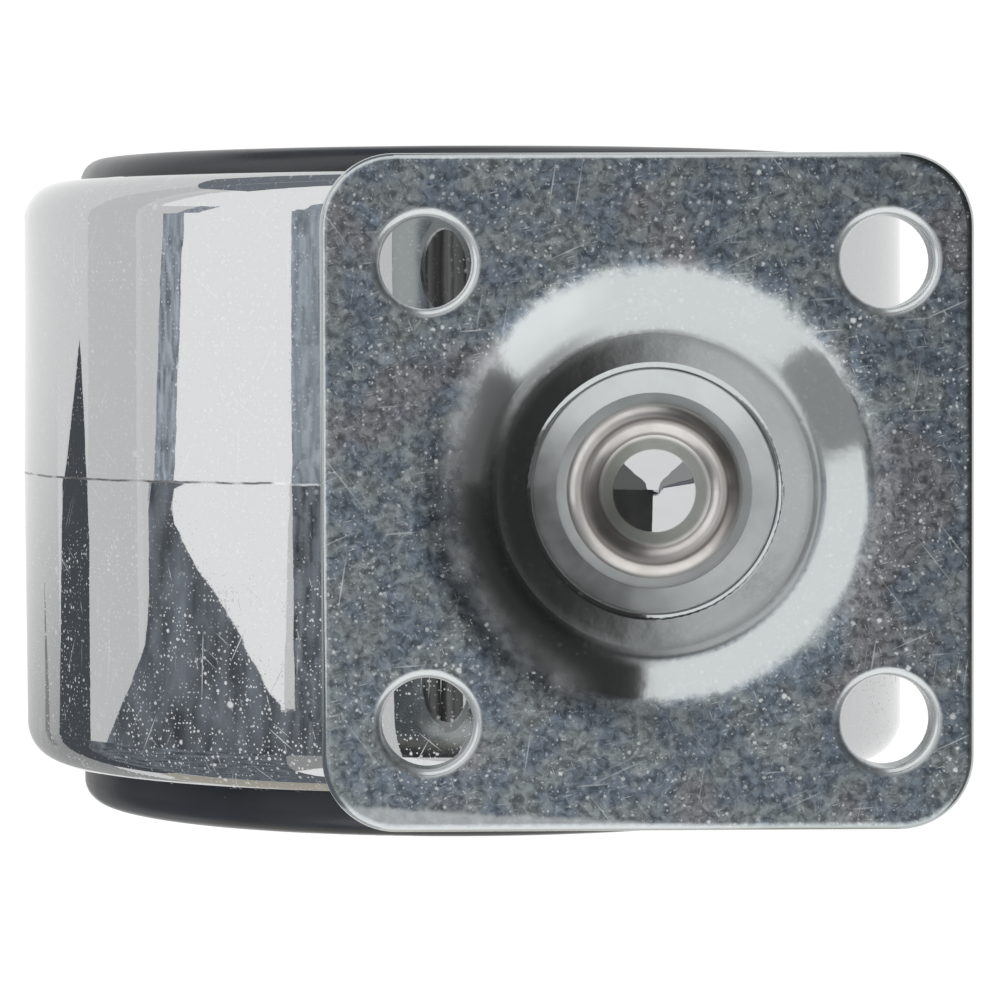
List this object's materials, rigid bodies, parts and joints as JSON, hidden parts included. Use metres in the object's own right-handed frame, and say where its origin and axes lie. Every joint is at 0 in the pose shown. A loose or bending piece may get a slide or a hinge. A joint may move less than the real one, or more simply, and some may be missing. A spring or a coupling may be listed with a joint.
{
  "type": "twin wheel castor",
  "caption": "Plate-mounted swivel castor with a chromed drum-shaped hood over a pair of black wheels on one trailing axle.",
  "frame": {"origin": "on the swivel axis, in the plane of the top plate's mounting face, at the centre of the bolt holes", "axes": "+Z out of the mounting face, away from the wheels; +Y along the wheels' axle; -X is the side where the wheels trail"},
  "size_m": [0.0576, 0.0419, 0.068],
  "materials": {
    "plated_steel": "bright zinc plate, mottled and scratched",
    "turned_steel": "turned",
    "spring_steel": "dark spring steel",
    "chrome": "mirror, with fine scratches",
    "acetal": "matte",
    "black_nylon": "gloss"
  },
  "bodies": {
    "plate": {"top_plate": "plated_steel", "stem": "turned_steel", "thrust_washer": "acetal", "stem_ring": "spring_steel"},
    "hood": {"hood": "chrome", "swivel_bush": "acetal", "axle": "turned_steel", "axle_washer_left": "plated_steel", "axle_washer_right": "plated_steel", "axle_clip_left": "spring_steel", "axle_clip_right": "spring_steel"},
    "left_wheel": {"wheel_left": "black_nylon", "wheel_cap_left": "black_nylon"},
    "right_wheel": {"wheel_right": "black_nylon", "wheel_cap_right": "black_nylon"}
  },
  "joints": [
    {"name": "swivel", "type": "hinge", "parent": "plate", "child": "hood", "pos_m": [0, 0, 0], "axis": [0, 0, 1], "continuous": true},
    {"name": "left_wheel_spin", "type": "hinge", "parent": "hood", "child": "left_wheel", "pos_m": [-0.0105, 0, -0.043], "axis": [0, 1, 0], "continuous": true},
    {"name": "right_wheel_spin", "type": "hinge", "parent": "hood", "child": "right_wheel", "pos_m": [-0.0105, 0, -0.043], "axis": [0, 1, 0], "continuous": true}
  ]
}
